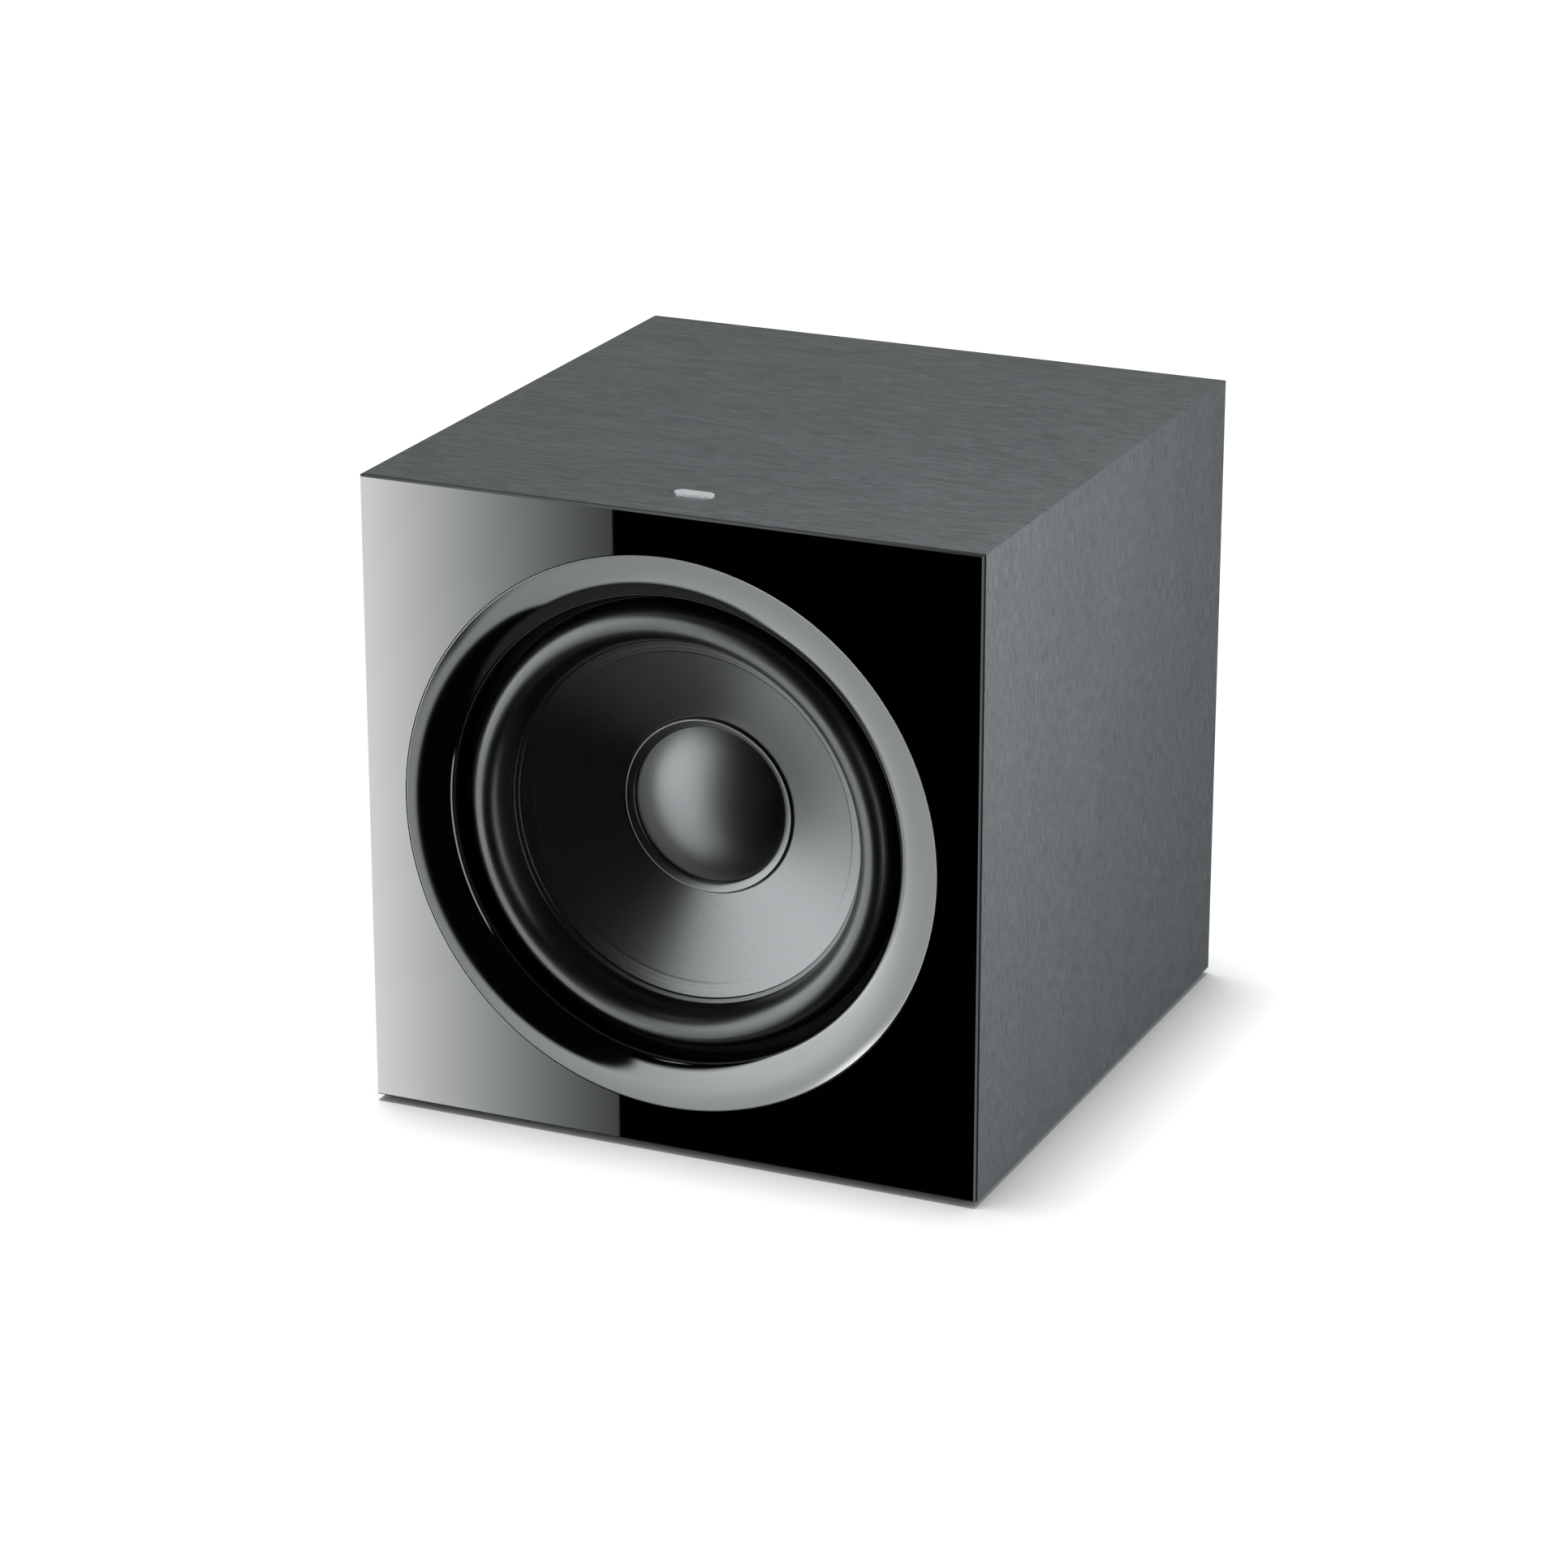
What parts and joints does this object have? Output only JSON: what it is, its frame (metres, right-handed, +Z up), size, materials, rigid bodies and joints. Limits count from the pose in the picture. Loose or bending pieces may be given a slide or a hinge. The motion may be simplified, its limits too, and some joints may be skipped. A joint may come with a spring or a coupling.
{
  "type": "subwoofer",
  "caption": "Cube-shaped closed-box powered subwoofer with a glossy black front, a large cone driver in a flared ring, veneered sides and a rear amplifier plate with controls.",
  "frame": {"origin": "on the floor, under the middle of the object's bounding box", "axes": "+Z up, -Y out of the front face that carries the driver, +X to the right as seen from the front"},
  "size_m": [0.395, 0.419, 0.4004],
  "materials": {
    "gloss_black": "gloss",
    "mdf": "matte",
    "ash_veneer": "satin",
    "rear_paint": "matte",
    "wadding": "matte",
    "foot_rubber": "matte",
    "zinc_steel": "satin",
    "polished_metal": "polished",
    "ring_gloss": "gloss",
    "gasket_foam": "matte",
    "cast_alloy": "matte",
    "black_steel": "satin",
    "surround_rubber": "satin",
    "cone_composite": "satin",
    "cap_composite": "satin",
    "cap_ring": "satin",
    "former_alloy": "satin",
    "copper_wire": "satin",
    "spider_cloth": "matte",
    "ferrite": "matte",
    "phenolic": "matte",
    "tinsel_braid": "matte",
    "wire_jacket": "satin",
    "plate_paint": "matte",
    "anodised_alloy": "satin",
    "box_steel": "satin",
    "board_laminate": "satin",
    "brass_metal": "satin",
    "winding_tape": "gloss",
    "capacitor_sleeve": "gloss",
    "jack_plastic": "satin",
    "pot_metal": "satin",
    "knob_plastic": "satin",
    "switch_plastic": "satin",
    "pin_metal": "satin",
    "fuse_glass": "gloss",
    "led_lens": "gloss"
  },
  "bodies": {
    "cabinet": {"front_fascia": "gloss_black", "front_baffle": "mdf", "top_panel": "ash_veneer", "bottom_panel": "ash_veneer", "left_panel": "ash_veneer", "right_panel": "ash_veneer", "rear_panel": "rear_paint", "window_brace": "mdf", "acoustic_wadding": "wadding", "rubber_feet": "foot_rubber", "foot_screws": "zinc_steel", "badge": "polished_metal", "trim_ring": "ring_gloss", "ring_pegs": "jack_plastic", "driver_gasket": "gasket_foam", "basket": "cast_alloy", "driver_screws": "black_steel", "surround": "surround_rubber", "spider": "spider_cloth", "top_plate": "zinc_steel", "magnet": "ferrite", "back_plate": "zinc_steel", "driver_terminals": "phenolic", "tinsel_leads": "tinsel_braid", "speaker_wires": "wire_jacket", "amp_gasket": "gasket_foam", "amp_plate": "plate_paint", "amp_screws": "black_steel", "heatsink": "anodised_alloy", "amp_back_box": "box_steel", "cable_grommet": "foot_rubber", "circuit_board": "board_laminate", "board_standoffs": "brass_metal", "transformer": "winding_tape", "transformer_bolt": "zinc_steel", "capacitors": "capacitor_sleeve", "rca_jacks": "brass_metal", "rca_insulators": "jack_plastic", "potentiometers": "pot_metal", "pot_nuts": "zinc_steel", "rocker_bezel": "switch_plastic", "mains_inlet": "switch_plastic", "inlet_pins": "pin_metal", "slide_switch_bodies": "pot_metal", "status_led": "led_lens"},
    "moving_cone": {"cone": "cone_composite", "dust_cap": "cap_composite", "dust_cap_ring": "cap_ring", "coil_former": "former_alloy", "voice_coil": "copper_wire"},
    "level_control": {"level_knob": "knob_plastic", "level_shaft": "zinc_steel"},
    "crossover_control": {"crossover_knob": "knob_plastic", "crossover_shaft": "zinc_steel"},
    "rocker": {"power_rocker": "switch_plastic"},
    "fuse_tray": {"fuse_drawer": "switch_plastic", "fuse": "fuse_glass"},
    "phase_switch": {"phase_slider": "knob_plastic"},
    "auto_switch": {"auto_slider": "knob_plastic"}
  },
  "joints": [
    {"name": "cone_stroke", "type": "slide", "parent": "cabinet", "child": "moving_cone", "axis": [0, -1, 0], "range_m": [-0.012, 0.012], "stiffness_N_per_m": 3000, "deforming": ["surround", "spider", "tinsel_leads"]},
    {"name": "level_turn", "type": "hinge", "parent": "cabinet", "child": "level_control", "pos_m": [-0.074, 0.1955, 0.2155], "axis": [0, 1, 0], "range_deg": [-150, 150]},
    {"name": "crossover_turn", "type": "hinge", "parent": "cabinet", "child": "crossover_control", "pos_m": [-0.024, 0.1955, 0.2155], "axis": [0, 1, 0], "range_deg": [-150, 150]},
    {"name": "rocker_tilt", "type": "hinge", "parent": "cabinet", "child": "rocker", "pos_m": [0.04, 0.193, 0.0955], "axis": [-1, 0, 0], "range_deg": [0, 18]},
    {"name": "fuse_drawer_slide", "type": "slide", "parent": "cabinet", "child": "fuse_tray", "axis": [0, 1, 0], "range_m": [0, 0.014]},
    {"name": "phase_slide", "type": "slide", "parent": "cabinet", "child": "phase_switch", "axis": [1, 0, 0], "range_m": [0, 0.005]},
    {"name": "auto_slide", "type": "slide", "parent": "cabinet", "child": "auto_switch", "axis": [1, 0, 0], "range_m": [0, 0.005]}
  ]
}
